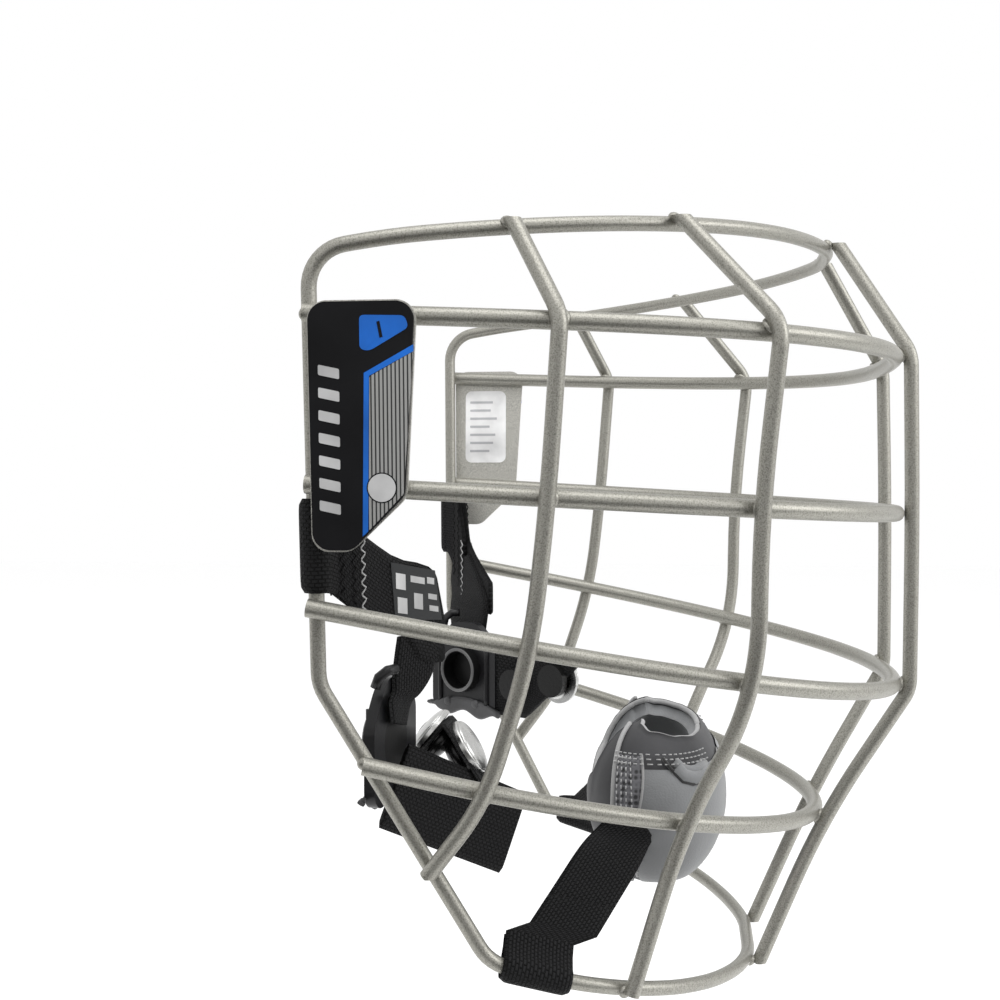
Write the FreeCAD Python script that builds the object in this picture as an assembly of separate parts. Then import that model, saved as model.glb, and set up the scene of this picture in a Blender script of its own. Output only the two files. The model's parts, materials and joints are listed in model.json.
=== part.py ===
import FreeCAD, Part
import math
import os

# Wire cage of an ice-hockey face mask, with its side straps, chin straps and chin cup.
# Millimetres. X runs across the face (the wearer's right is -X), Y runs back along the
# head and Z is up. The origin is the middle of the brow run, where a helmet's clip grips.

# Wires, as radii.
RIM_RADIUS = 1.6
BAR_RADIUS = 1.9
UPRIGHT_RADIUS = 1.7
WELD_SINK = 0.04            # how far two welded wires press into each other

# The rim: one closed wire round the face opening.
BACK = 109.0                # from the brow run back to the side runs
HALF_WIDTH_TOP = 91.5       # at the temples
HALF_WIDTH_LOW = 87.5       # at the jaw
BROW_DROP = 8.6             # how far the brow run falls from the front to the temples
BROW_FALL_POWER = 1.35
BROW_FLAT = 24.0            # straight middle of the brow run
BROW_RUNS = 8               # straight runs on each side of it
TEMPLE_START = 16.0         # how far ahead of the side runs the brow's bow ends
TEMPLE_Z = -9.6
JAW_Z = -96.5
JAW_AHEAD = 1.0             # how far the side runs lean forward by the jaw
CHIN_CORNER = (74.5, 75.0, -156.0)
CHIN_DEPTH = 57.0           # from the chin corners forward to the chin
CHIN_DROP = 15.0
CHIN_ANGLES = (19, 31, 43, 55, 67, 79)
RIM_BEND = 10.0
SHARP_TURN = 25.0           # turns above this many degrees are bends, not part of a bow

# The four bars across: height where they meet the side runs, fall per millimetre
# forward, depth from the side runs to the front, and how square the bow is.
BARS = {
    "brow_wire": (-22.3, 0.0385, 124.0, 3.0),
    "eye_wire": (-56.0, 0.0576, 125.0, 2.75),
    "nose_wire": (-80.7, 0.184, 125.0, 2.5),
    "mouth_wire": (-110.4, 0.238, 107.0, 2.0),
}
BAR_OVERHANG = 0.3          # bar end past the middle of the side run
MOUTH_OVERHANG = 0.534      # mouth bar end past the middle of the jaw run

# The uprights: place of each crossing with brow run, four bars and chin run. The outer
# and inner pairs are placed by depth, the centre pair by its distance from the middle.
OUTER_UPRIGHT = (69.5, 59.2, 61.6, 65.6, 75.7, 86.5)
INNER_UPRIGHT = (37.6, 18.0, 20.8, 23.2, 36.2, 47.5)
CENTRE_UPRIGHT = 28.0
UPRIGHT_BEND = 9.0
UPRIGHT_OVERHANG = 0.3
UPRIGHT_TRIM = 1.3          # the ends are cut level this far past the rim's middle

# Side plates and what is stuck on them, as distances ahead of the side runs and heights.
PLATE_THICKNESS = 1.0
PLATE_CORNER = 4.0
PLATE_OUTLINE = ((1.1, -20.2), (23.0, -20.2), (20.7, -58.6), (9.5, -69.3), (1.6, -69.3))
BADGE_THICKNESS = 0.8
BADGE_INSET = 0.35
LABEL_THICKNESS = 0.25
LABEL_BACK = 4.5
LABEL_FRONT = 17.5
LABEL_TOP = -26.5
LABEL_LOW = -49.5
LABEL_CORNER = 2.0

# Side straps: a loop of webbing on the side run, sewn into one flat tail.
WEBBING = 1.5
WEBBING_WIDTH = 19.0
LOOP_CLEARANCE = 0.05
LOOP_TOP = -58.9
TAIL_START = 1.9
TAIL_INWARD = 0.85          # tail direction, as parts inward and forward
TAIL_FORWARD = 0.53
# Tail and printed patch outlines, as distances along the tail and below the loop's top.
TAIL_OUTLINE = {
    "right": ((5, 0.7), (12, 7), (24, 13.2), (36, 14.8), (38, 25.1), (38, 36.6), (27, 36.6),
              (26, 30.1), (12, 24.1), (4, 19)),
    "left": ((9.5, 0.7), (12, 14.1), (34, 29.1), (38, 33.1), (38, 36.6), (16, 36.6),
             (5, 25.1), (4, 19)),
}
PATCH_THICKNESS = 0.2
PATCH_OUTLINE = {
    "right": ((21, 13.7), (35, 16.1), (37, 27.1), (22, 26.1)),
    "left": ((9, 14.6), (13, 16.7), (22, 23.7), (12, 27.6)),
}

# Snap tabs: a moulded plate with a ring socket, hung on the tail's end.
TAB_HANGER = (31.1, 1.7, 36.6)  # where it hangs: along, beside and below the tail's start
TAB_DROP = 16.0             # from there down to the socket's middle
TAB_BACKSET = 5.0           # from the socket's middle forward to the hanger axis
TAB_STANDOFF = 4.0          # from the hanger axis to the plate's middle
TAB_TURN = {"right": 80.0, "left": 34.0}
TAB_LENGTH = 25.0
TAB_TOP = 14.0
TAB_LOW = 14.5
TAB_THICKNESS = 2.4
TAB_CORNER = 4.0
SOCKET_RADIUS = 6.7
SOCKET_BORE = 5.4
SOCKET_HEIGHT = 5.0
SOCKET_FLOOR = 0.8
# The strap beyond the tab: where it starts and heads, as parts along the tab, up and out
# of its face, and the lengths of its upper and lower edges.
STRAP_END = {
    "right": ((-1.2, -9.5, -1.2), (0.75, -0.42, -0.52), 36.0, 36.0),
    "left": ((12.5, -3.0, 0.0), (1.0, 0.0, 0.0), 33.5, 11.5),
}
SNAP_CAP_RADIUS = 6.6
SNAP_CAP_THICKNESS = 1.3
SNAP_SOCKET_RADIUS = 4.6
SNAP_SOCKET_THICKNESS = 2.0
SNAP_PITCH = 14.5           # between the two snaps on the flat left strap end
SNAP_START = 7.5            # from the tab to the first of them
SNAP_STEP_UP = 2.5
FLAP_WIDTH = 14.0           # the right strap's folded flap, beyond the tab's front end
FLAP_CLEARANCE = 0.6
FLAP_PROFILE = ((0.4, -6.5), (-7.1, 2.5), (-16.4, -12.5))  # back and up from that end
FLAP_THICKNESS = 1.4

# Chin straps: webbing wrapped round the chin run, and a free run up to the cup's side.
CHIN_WEBBING_WIDTH = 15.0
ANCHOR_OFFSET = 10.0        # from the chin corner to the middle of the wrap
ANCHOR_STUB = 6.5
CHIN_STRAP_GAP = 1.6
CHIN_STRAP_ASIDE = 3.0      # from the cup's side out to the middle of the strap's end
CHIN_STRAP_END = (7.0, -4.5)    # back and up from the cup's middle to there

# Chin cup: a moulded tray, open up and back, with a soft liner.
CUP_MIDDLE = (42.0, -132.5)
CUP_HALF_DEPTH = 17.0
CUP_HALF_HEIGHT = 19.5
CUP_HALF_WIDTH = 37.0
CUP_WALL = 2.6
CUP_LINER = 3.4
CUP_ROUNDING = 9.0
CUP_MOUTH_SHARE = 0.86      # how far round the oval the mouth is cut
CUP_MOUTH_REACH = 40.0
PANEL_THICKNESS = 0.6
PANEL_HALF_DEPTH = 7.5
PANEL_HALF_HEIGHT = 10.0

SIDES = {"right": -1, "left": 1}
REACH = 0.45                # share of a straight run that one bend may take
ARCH_SAMPLES = 400
BAR_RUNS = 19
CAGE_MIDDLE = (0.0, 76.0, -75.0)    # inside the cage, for telling outward from inward
SEATING_ROUNDS = 8

UP = FreeCAD.Vector(0, 0, 1)
ACROSS = FreeCAD.Vector(1, 0, 0)


def vector(x, y, z):
    return FreeCAD.Vector(x, y, z)


def unit(direction):
    return direction / direction.Length


def mirrored(shape):
    return shape.mirror(vector(0, 0, 0), ACROSS)


# ---- bent wires -------------------------------------------------------------------------

def corners_along(points, closed=False):
    """Each corner with the points before and after it."""
    if closed:
        return list(zip(points[-1:] + points[:-1], points, points[1:] + points[:1]))
    return list(zip(points, points[1:], points[2:]))


def sharp_bends(points, bend, closed=False):
    """The bend radius at each sharp corner, and none where the path only bows."""
    turns = [(corner - before).getAngle(after - corner)
             for before, corner, after in corners_along(points, closed)]
    return [bend if turn > math.radians(SHARP_TURN) else None for turn in turns]


def bend_corner(before, corner, after, bend):
    """Start, middle and end of the tangent arc at one corner, as large as fits without a bend."""
    inward = corner - before
    outward = after - corner
    half_turn = inward.getAngle(outward) / 2
    cut = REACH * min(inward.Length, outward.Length)
    if bend:
        cut = min(cut, bend * math.tan(half_turn))
    radius = cut / math.tan(half_turn)
    start = corner - unit(inward) * cut
    end = corner + unit(outward) * cut
    bisector = unit((start + end) / 2 - corner)
    middle = corner + bisector * (radius / math.cos(half_turn) - radius)
    return start, middle, end


def bent_edges(points, bends, closed=False):
    """Straight runs through the points, joined by tangent arcs."""
    arcs = [bend_corner(*corner, bend) for corner, bend in zip(corners_along(points, closed), bends)]
    first = arcs[-1][2] if closed else points[0]
    edges = []
    for start, middle, end in arcs:
        edges.append(Part.LineSegment(first, start).toShape())
        edges.append(Part.Arc(start, middle, end).toShape())
        first = end
    if not closed:
        edges.append(Part.LineSegment(first, points[-1]).toShape())
    return edges


def round_wire(edges, radius):
    """A round bar along the edges."""
    start = edges[0].Vertexes[0].Point
    along = edges[0].tangentAt(edges[0].FirstParameter)
    profile = Part.Wire([Part.makeCircle(radius, start, along)])
    return Part.Wire(edges).makePipeShell([profile], True, False)


def evenly_spaced(points, count):
    """Picks count runs of equal length along a fine line of points."""
    lengths = [0.0]
    for here, there in zip(points, points[1:]):
        lengths.append(lengths[-1] + (there - here).Length)
    picked = []
    index = 0
    for step in range(count + 1):
        target = lengths[-1] * step / count
        while index < len(points) - 2 and lengths[index + 1] < target:
            index += 1
        share = (target - lengths[index]) / (lengths[index + 1] - lengths[index])
        picked.append(points[index] + (points[index + 1] - points[index]) * share)
    return picked


def arch(half_width, depth, squareness, back_end, height_at):
    """Fine points of a bow from the right side run round to the left one."""
    points = []
    for i in range(ARCH_SAMPLES + 1):
        angle = math.pi * (i / ARCH_SAMPLES - 0.5)
        sideways = abs(math.sin(angle)) ** (2 / squareness)
        forward = abs(math.cos(angle)) ** (2 / squareness)
        y = BACK - depth * forward
        if y <= back_end:
            x = math.copysign(half_width * sideways, math.sin(angle))
            points.append(vector(x, y, height_at(y)))
    return points


# ---- rim and bars -----------------------------------------------------------------------

def side_run(z):
    """Middle of the left side run at height z."""
    temple = vector(HALF_WIDTH_TOP, BACK, TEMPLE_Z)
    jaw = vector(HALF_WIDTH_LOW, BACK - JAW_AHEAD, JAW_Z)
    return jaw + (temple - jaw) * ((z - JAW_Z) / (TEMPLE_Z - JAW_Z))


def chin_point(degrees):
    """A corner point of the chin run, from the left chin corner forward to the chin."""
    corner_x, corner_y, corner_z = CHIN_CORNER
    forward = math.sin(math.radians(degrees))
    x = corner_x * math.cos(math.radians(degrees))
    return vector(x, corner_y - CHIN_DEPTH * forward, corner_z - CHIN_DROP * forward)


def brow_height(y):
    return -BROW_DROP * (max(y, 0) / BACK) ** BROW_FALL_POWER


def rim_half():
    """Corner points of the rim on the left side, from the brow down to the chin."""
    bow = arch(HALF_WIDTH_TOP, BACK, 2.0, BACK - TEMPLE_START, brow_height)
    left = [point for point in bow if point.x >= BROW_FLAT / 2]
    brow = evenly_spaced(left, BROW_RUNS)
    brow[0] = vector(BROW_FLAT / 2, 0, 0)
    chin = [chin_point(degrees) for degrees in (0,) + CHIN_ANGLES]
    return brow + [side_run(TEMPLE_Z), side_run(JAW_Z)] + chin


def rim_edges():
    left = rim_half()
    right = [vector(-point.x, point.y, point.z) for point in reversed(left)]
    points = left + right
    return bent_edges(points, sharp_bends(points, RIM_BEND, closed=True), closed=True)


def mouth_end():
    """How far back the mouth bar reaches: just past its crossing with the jaw run."""
    height, fall, _, _ = BARS["mouth_wire"]
    _, corner_y, corner_z = CHIN_CORNER
    jaw = side_run(JAW_Z)
    slope = (corner_z - JAW_Z) / (jaw.y - corner_y)
    crossing_y = (JAW_Z + slope * jaw.y - height + fall * BACK) / (fall + slope)
    return crossing_y + MOUTH_OVERHANG


def bar_half_width(name):
    """Middle of the bar where it lies on the outside of the side run."""
    height = BARS[name][0]
    step_out = RIM_RADIUS + BAR_RADIUS - WELD_SINK
    if name != "mouth_wire":
        return side_run(height).x + step_out
    corner_x, corner_y, _ = CHIN_CORNER
    jaw = side_run(JAW_Z)
    share = (jaw.y - mouth_end()) / (jaw.y - corner_y)
    jaw_x = jaw.x + share * (corner_x - jaw.x)
    depth = BARS[name][2]
    flatness = math.sqrt(1 - ((BACK - mouth_end()) / depth) ** 2)
    return (jaw_x + step_out) / flatness


def bar_edges(name):
    height, fall, depth, squareness = BARS[name]

    def height_at(y):
        return height - fall * (BACK - y)

    half_width = bar_half_width(name)
    back_end = mouth_end() if name == "mouth_wire" else BACK
    points = evenly_spaced(arch(half_width, depth, squareness, back_end, height_at), BAR_RUNS)
    if back_end == BACK:
        tail = BACK + BAR_OVERHANG
        points[0] = vector(points[0].x, tail, height_at(tail))
        points[-1] = vector(points[-1].x, tail, height_at(tail))
    return bent_edges(points, [None] * (BAR_RUNS - 1))


# ---- uprights ---------------------------------------------------------------------------

def crossing(edges, place, side, low, high):
    """Where the edges cross a plane, and their direction there."""
    span = 200.0
    if side:
        corner = vector(0 if side > 0 else -span, place, low)
        plane = Part.makePlane(span, high - low, corner, vector(0, -1, 0), ACROSS)
    else:
        corner = vector(place, -span / 4, low)
        plane = Part.makePlane(high - low, span / 2, corner, ACROSS, UP)
    path = Part.Wire(edges)
    point = path.distToShape(plane)[1][0][0]
    nearest = min(edges, key=lambda edge: edge.distToShape(Part.Vertex(point))[0])
    return point, nearest.tangentAt(nearest.Curve.parameter(point))


def heading_at(seats, i):
    """Direction of the upright at one seat, halved between its two runs."""
    runs = []
    if i > 0:
        runs.append(unit(seats[i] - seats[i - 1]))
    if i < len(seats) - 1:
        runs.append(unit(seats[i + 1] - seats[i]))
    return unit(sum(runs[1:], runs[0]))


def seated(points, tangents, steps):
    """The upright's corners, moved outward until it just lies on each wire, and its bends."""
    middle = vector(*CAGE_MIDDLE)
    seats = [point + unit(vector(point.x, point.y - middle.y, 0)) * step
             for point, step in zip(points, steps)]
    bends = sharp_bends(seats, UPRIGHT_BEND)
    for _ in range(SEATING_ROUNDS):
        moved = []
        for i, (point, tangent, step) in enumerate(zip(points, tangents, steps)):
            outward = unit(tangent.cross(heading_at(seats, i)))
            if outward.dot(point - middle) < 0:
                outward = outward * -1
            seat = point + outward * step
            if 0 < i < len(seats) - 1:
                arc_middle = bend_corner(*seats[i - 1:i + 2], bends[i - 1])[1]
                seat = seat + (seats[i] - arc_middle)
            moved.append(seat)
        seats = moved
    return seats, bends


def upright(places, side, rim, bars):
    """A round upright on the outside of the bars, from the brow run to the chin run."""
    levels = [(rim, -40.0, 20.0)]
    levels += [(edges, -180.0, 20.0) for edges in bars]
    levels += [(rim, -180.0, -120.0)]
    points = []
    tangents = []
    for place, (edges, low, high) in zip(places, levels):
        point, tangent = crossing(edges, place, side, low, high)
        points.append(point)
        tangents.append(tangent)
    on_rim = RIM_RADIUS + UPRIGHT_RADIUS - WELD_SINK
    on_bar = BAR_RADIUS + UPRIGHT_RADIUS - WELD_SINK
    seats, bends = seated(points, tangents, [on_rim] + [on_bar] * len(bars) + [on_rim])
    seats[0] = seats[0] + unit(seats[0] - seats[1]) * UPRIGHT_OVERHANG
    seats[-1] = seats[-1] + unit(seats[-1] - seats[-2]) * UPRIGHT_OVERHANG
    wire = round_wire(bent_edges(seats, bends), UPRIGHT_RADIUS)
    block = 4 * UPRIGHT_RADIUS
    for point, seat, way in ((points[0], seats[0], 1), (points[-1], seats[-1], -1)):
        level = point.z + way * UPRIGHT_TRIM
        corner = vector(seat.x - block / 2, seat.y - block / 2, level if way > 0 else level - block)
        wire = wire.cut(Part.makeBox(block, block, block, corner))
    return wire


def build_wires(parts):
    rim = rim_edges()
    parts["perimeter_wire"] = round_wire(rim, RIM_RADIUS)
    bars = []
    for name in BARS:
        edges = bar_edges(name)
        bars.append(edges)
        parts[name] = round_wire(edges, BAR_RADIUS)
    for name, side in SIDES.items():
        parts["outer_vertical_" + name] = upright(OUTER_UPRIGHT, side, rim, bars)
        parts["inner_vertical_" + name] = upright(INNER_UPRIGHT, side, rim, bars)
        centre_places = [side * CENTRE_UPRIGHT] * (len(bars) + 2)
        parts["centre_vertical_" + name] = upright(centre_places, 0, rim, bars)


# ---- side plates ------------------------------------------------------------------------

def rounded_face(corners, radius):
    """A flat face with rounded corners."""
    edges = bent_edges(corners, sharp_bends(corners, radius, closed=True), closed=True)
    return Part.Face(Part.Wire(edges))


def on_side(ahead, z, out):
    """A point on the leaning side of the cage, ahead of and out from the side run."""
    return vector(side_run(z).x + out, BACK - ahead, z)


def plate_lean():
    return unit(vector(1, 0, -(HALF_WIDTH_TOP - HALF_WIDTH_LOW) / (TEMPLE_Z - JAW_Z)))


def inset_outline(outline, inset):
    """The outline moved in by the inset on every side."""
    middle_ahead = sum(ahead for ahead, _ in outline) / len(outline)
    middle_z = sum(z for _, z in outline) / len(outline)
    moved = []
    for ahead, z in outline:
        moved.append((ahead - math.copysign(inset, ahead - middle_ahead),
                      z - math.copysign(inset, z - middle_z)))
    return moved


def build_plates(parts):
    outward = plate_lean()
    plate_in = RIM_RADIUS + 2 * BAR_RADIUS
    plate_out = plate_in + PLATE_THICKNESS / outward.x
    corners = [on_side(ahead, z, plate_in) for ahead, z in PLATE_OUTLINE]
    plate = rounded_face(corners, PLATE_CORNER)
    plate = plate.extrude(outward * PLATE_THICKNESS)
    corners = [on_side(ahead, z, plate_out) for ahead, z in inset_outline(PLATE_OUTLINE, BADGE_INSET)]
    badge = rounded_face(corners, PLATE_CORNER - BADGE_INSET)
    badge = badge.extrude(outward * BADGE_THICKNESS)
    corners = [(LABEL_BACK, LABEL_LOW), (LABEL_BACK, LABEL_TOP),
               (LABEL_FRONT, LABEL_TOP), (LABEL_FRONT, LABEL_LOW)]
    label = rounded_face([on_side(ahead, z, plate_in) for ahead, z in corners], LABEL_CORNER)
    parts["side_plate_left"] = plate
    parts["badge_left"] = badge
    parts["inner_label_left"] = label.extrude(outward * -LABEL_THICKNESS)
    parts["side_plate_right"] = mirrored(plate)
    parts["badge_right"] = mirrored(badge)


# ---- side straps ------------------------------------------------------------------------

def tail_point(side, along, drop, aside):
    """A point by the tail: along it from the side run, below the loop's top, and beside it."""
    z = LOOP_TOP - drop
    run = side_run(z)
    x = run.x - TAIL_INWARD * along - TAIL_FORWARD * aside
    y = run.y - TAIL_FORWARD * along + TAIL_INWARD * aside
    return vector(side * x, y, z)


def tail_slab(side, outline, low, high):
    """A flat piece between two distances from the tail's middle plane."""
    near = [tail_point(side, along, drop, low) for along, drop in outline]
    far = [tail_point(side, along, drop, high) for along, drop in outline]
    wires = [Part.makePolygon(corners + corners[:1]) for corners in (near, far)]
    return Part.makeLoft(wires, True, True)


def build_side_strap(parts, name, side):
    foot = side_run(LOOP_TOP - WEBBING_WIDTH)
    axis = side_run(LOOP_TOP) - foot
    foot = vector(side * foot.x, foot.y, foot.z)
    axis = vector(side * axis.x, axis.y, axis.z)
    inner = RIM_RADIUS + LOOP_CLEARANCE
    bore = Part.makeCylinder(inner, axis.Length + 8, foot - unit(axis) * 4, axis)
    loop = Part.makeCylinder(inner + WEBBING, axis.Length, foot, axis)
    outline = ((TAIL_START, 0),) + TAIL_OUTLINE[name] + ((TAIL_START, WEBBING_WIDTH),)
    tail = tail_slab(side, outline, -WEBBING / 2, WEBBING / 2)
    parts["side_strap_" + name] = loop.fuse(tail).cut(bore).removeSplitter()
    patch = tail_slab(side, PATCH_OUTLINE[name], -WEBBING / 2 - PATCH_THICKNESS, -WEBBING / 2)
    parts["strap_patch_" + name] = patch


def tab_frame(name, side):
    """Middle of the tab's socket, its forward direction and the way the socket faces."""
    turn = math.radians(TAB_TURN[name])
    forward = vector(-side * math.sin(turn), -math.cos(turn), 0)
    facing = vector(-side * math.cos(turn), math.sin(turn), 0)
    along, beside, below = TAB_HANGER
    hanger = tail_point(side, along, below, beside) - UP * TAB_DROP
    return hanger - forward * TAB_BACKSET + facing * TAB_STANDOFF, forward, facing


def tab_point(name, side, along, height, out):
    middle, forward, facing = tab_frame(name, side)
    return middle + forward * along + UP * height + facing * out


def build_tab(parts, name, side):
    facing = tab_frame(name, side)[2]
    half = TAB_LENGTH / 2
    back = -TAB_THICKNESS / 2
    outline = ((-half, 4), (-half + 4, TAB_TOP - 4), (-4, TAB_TOP), (5, TAB_TOP),
               (half, 7), (half, -TAB_LOW + 1), (5, -TAB_LOW + 3.5), (-half, -TAB_LOW + 1))
    corners = [tab_point(name, side, along, height, back) for along, height in outline]
    plate = rounded_face(corners, TAB_CORNER).extrude(facing * TAB_THICKNESS)
    base = tab_point(name, side, 0, 0, back)
    seat = Part.makeCylinder(SOCKET_RADIUS, TAB_THICKNESS + 2, base - facing, facing)
    socket = Part.makeCylinder(SOCKET_RADIUS, SOCKET_HEIGHT, base, facing)
    bore = Part.makeCylinder(SOCKET_BORE, SOCKET_HEIGHT, base + facing * SOCKET_FLOOR, facing)
    parts["snap_tab_" + name] = plate.cut(seat)
    parts["snap_socket_" + name] = socket.cut(bore)
    strap = strap_end_slab(name, side).cut(parts["snap_tab_" + name]).cut(socket)
    parts["strap_end_" + name] = largest(strap)


def largest(shape):
    return max(shape.Solids, key=lambda solid: solid.Volume)


def strap_end_axes(name, side):
    """Start, heading, width direction and flat normal of the strap beyond the tab."""
    start, heading, _, _ = STRAP_END[name]
    _, forward, facing = tab_frame(name, side)
    along = unit(forward * heading[0] + UP * heading[1] + facing * heading[2])
    width = unit(UP - along * along.dot(UP))
    return tab_point(name, side, *start), along, width, unit(width.cross(along))


def strap_end_slab(name, side):
    _, _, upper, lower = STRAP_END[name]
    start, along, width, flat = strap_end_axes(name, side)
    half = width * (WEBBING_WIDTH / 2)
    base = start - flat * (WEBBING / 2)
    rim = [base - half, base + half, base + half + along * upper, base - half + along * lower]
    return Part.Face(Part.makePolygon(rim + rim[:1])).extrude(flat * WEBBING)


def flap_legs():
    """The start, end and outward direction of the right flap's two slopes."""
    tab_end = tab_point("right", SIDES["right"], TAB_LENGTH / 2, 0, 0)
    legs = []
    for (back, up), (next_back, next_up) in zip(FLAP_PROFILE, FLAP_PROFILE[1:]):
        start = tab_end + vector(FLAP_CLEARANCE, back, up)
        end = tab_end + vector(FLAP_CLEARANCE, next_back, next_up)
        legs.append((start, end, unit(ACROSS.cross(end - start)) * -1))
    return legs


def build_flap():
    """The right strap's end folded over like a roof."""
    (foot, ridge, rear), (_, toe, front) = flap_legs()
    inner_ridge = ridge - unit(rear + front) * (FLAP_THICKNESS / rear.dot(unit(rear + front)))
    outline = [foot, ridge, toe, toe - front * FLAP_THICKNESS, inner_ridge,
               foot - rear * FLAP_THICKNESS, foot]
    return Part.Face(Part.makePolygon(outline)).extrude(ACROSS * FLAP_WIDTH)


def snap_pair(seats):
    """Bright caps and dark sockets of two snaps, given each cap's seat and outward way."""
    caps = []
    sockets = []
    for seat, outward, grip in seats:
        cap = Part.makeCylinder(SNAP_CAP_RADIUS, SNAP_CAP_THICKNESS, seat, outward)
        caps.append(cap.makeFillet(0.5, [cap.Edges[0]]))
        back = seat - outward * grip
        socket = Part.makeCylinder(SNAP_SOCKET_RADIUS, SNAP_SOCKET_THICKNESS, back, outward * -1)
        sockets.append(socket)
    return Part.makeCompound(caps), Part.makeCompound(sockets)


def build_snaps(parts):
    middle = ACROSS * (FLAP_WIDTH / 2)
    right = [((start + end) / 2 + middle, outward, FLAP_THICKNESS)
             for start, end, outward in flap_legs()]
    start, along, width, flat = strap_end_axes("left", SIDES["left"])
    if flat.x < 0:
        flat = flat * -1
    seats = [start + along * (SNAP_START + SNAP_PITCH * i) + width * (SNAP_STEP_UP * i)
             for i in range(2)]
    left = [(seat + flat * (WEBBING / 2), flat, WEBBING) for seat in seats]
    flap = build_flap()
    parts["snap_flap_right"] = flap
    parts["snap_caps_right"], sockets = snap_pair(right)
    parts["snap_sockets_right"] = Part.makeCompound([solid.cut(flap).Solids[0] for solid in sockets.Solids])
    parts["snap_caps_left"], parts["snap_sockets_left"] = snap_pair(left)
    strap = parts["strap_end_right"].cut(flap).cut(parts["snap_sockets_right"])
    parts["strap_end_right"] = largest(strap)


# ---- chin straps ------------------------------------------------------------------------

def chin_run():
    """Start and direction of the rim's first run past the left chin corner."""
    corner = chin_point(0)
    return corner, unit(chin_point(CHIN_ANGLES[0]) - corner)


def webbing_slab(edge_start, edge_way, run):
    """A flat run of chin webbing, from one edge along the run."""
    edge = edge_way * CHIN_WEBBING_WIDTH
    flat = unit(edge.cross(run))
    corner = edge_start - flat * (WEBBING / 2)
    rim = [corner, corner + edge, corner + edge + run, corner + run, corner]
    return Part.Face(Part.makePolygon(rim)).extrude(flat * WEBBING)


def build_chin_strap(parts):
    """The wrap round the chin run stays on the cage; the free run goes up to the cup."""
    corner, along = chin_run()
    middle = corner + along * ANCHOR_OFFSET
    foot = middle - along * (CHIN_WEBBING_WIDTH / 2)
    cup_y, cup_z = CUP_MIDDLE
    back, up = CHIN_STRAP_END
    rise = vector(CUP_HALF_WIDTH + CHIN_STRAP_ASIDE, cup_y + back, cup_z + up) - middle
    stub = unit(rise) * ANCHOR_STUB
    wrap = Part.makeCylinder(RIM_RADIUS + WEBBING, CHIN_WEBBING_WIDTH, foot, along)
    bore = Part.makeCylinder(RIM_RADIUS + LOOP_CLEARANCE, CHIN_WEBBING_WIDTH, foot, along)
    wrap = wrap.fuse(webbing_slab(foot, along, stub)).cut(bore)
    start = foot + stub + unit(rise) * CHIN_STRAP_GAP
    strap = webbing_slab(start, along, rise - (start - foot))
    rim = parts["perimeter_wire"]
    parts["chin_strap_anchor_left"] = largest(wrap.cut(rim))
    parts["chin_strap_anchor_right"] = largest(mirrored(wrap).cut(rim))
    parts["chin_strap_left"] = strap
    parts["chin_strap_right"] = mirrored(strap)


# ---- chin cup ---------------------------------------------------------------------------

def rounded_drum(shrink):
    """An oval drum across the face with rounded ends, shrunk all round."""
    middle_y, middle_z = CUP_MIDDLE
    half_width = CUP_HALF_WIDTH - shrink
    start = vector(-half_width, middle_y, middle_z)
    tall = start + UP * (CUP_HALF_HEIGHT - shrink)
    wide = start + vector(0, CUP_HALF_DEPTH - shrink, 0)
    oval = Part.Ellipse(tall, wide, start).toShape()
    drum = Part.Face(Part.Wire([oval])).extrude(ACROSS * (2 * half_width))
    ends = [edge for edge in drum.Edges if len(edge.Vertexes) == 1]
    return drum.makeFillet(CUP_ROUNDING - shrink, ends)


def cup_mouth(shrink):
    """The block cleared above and behind the hollow."""
    middle_y, middle_z = CUP_MIDDLE
    half = (CUP_HALF_DEPTH - shrink) * CUP_MOUTH_SHARE
    side = CUP_HALF_WIDTH - CUP_ROUNDING
    reach = CUP_MOUTH_REACH
    corners = [(middle_y - half, middle_z + half), (middle_y + half, middle_z - half),
               (middle_y + half + reach, middle_z - half + reach),
               (middle_y - half + reach, middle_z + half + reach)]
    points = [vector(-side, y, z) for y, z in corners]
    return Part.Face(Part.makePolygon(points + points[:1])).extrude(ACROSS * (2 * side))


def build_chin_cup(parts):
    outer = rounded_drum(0)
    hollow = rounded_drum(CUP_WALL)
    inside = rounded_drum(CUP_WALL + CUP_LINER)
    parts["chin_cup_shell"] = outer.cut(hollow).cut(cup_mouth(CUP_WALL))
    parts["chin_cup_liner"] = hollow.cut(inside).cut(cup_mouth(CUP_WALL))
    centre = vector(CUP_HALF_WIDTH - CUP_WALL - CUP_LINER - PANEL_THICKNESS, *CUP_MIDDLE)
    oval = Part.Ellipse(centre + UP * PANEL_HALF_HEIGHT, centre + vector(0, PANEL_HALF_DEPTH, 0), centre)
    panel = Part.Face(Part.Wire([oval.toShape()])).extrude(ACROSS * PANEL_THICKNESS)
    parts["chin_mesh_panel_left"] = panel
    parts["chin_mesh_panel_right"] = mirrored(panel)


def build():
    parts = {}
    build_wires(parts)
    build_plates(parts)
    for name, side in SIDES.items():
        build_side_strap(parts, name, side)
        build_tab(parts, name, side)
    build_snaps(parts)
    build_chin_strap(parts)
    build_chin_cup(parts)
    return parts


os.makedirs("parts", exist_ok=True)
for node, shape in build().items():
    shape.exportStep(os.path.join("parts", node + ".step"))
    print(node, "volume", round(shape.Volume, 1), "valid", shape.isValid(), "solids", len(shape.Solids))
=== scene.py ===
"""Looks of the wire face cage: materials, webbing, welds, print, chin cup, studio and camera."""
import json
import math
import random

import bpy
from mathutils import Matrix, Vector
from mathutils.bvhtree import BVHTree


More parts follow.
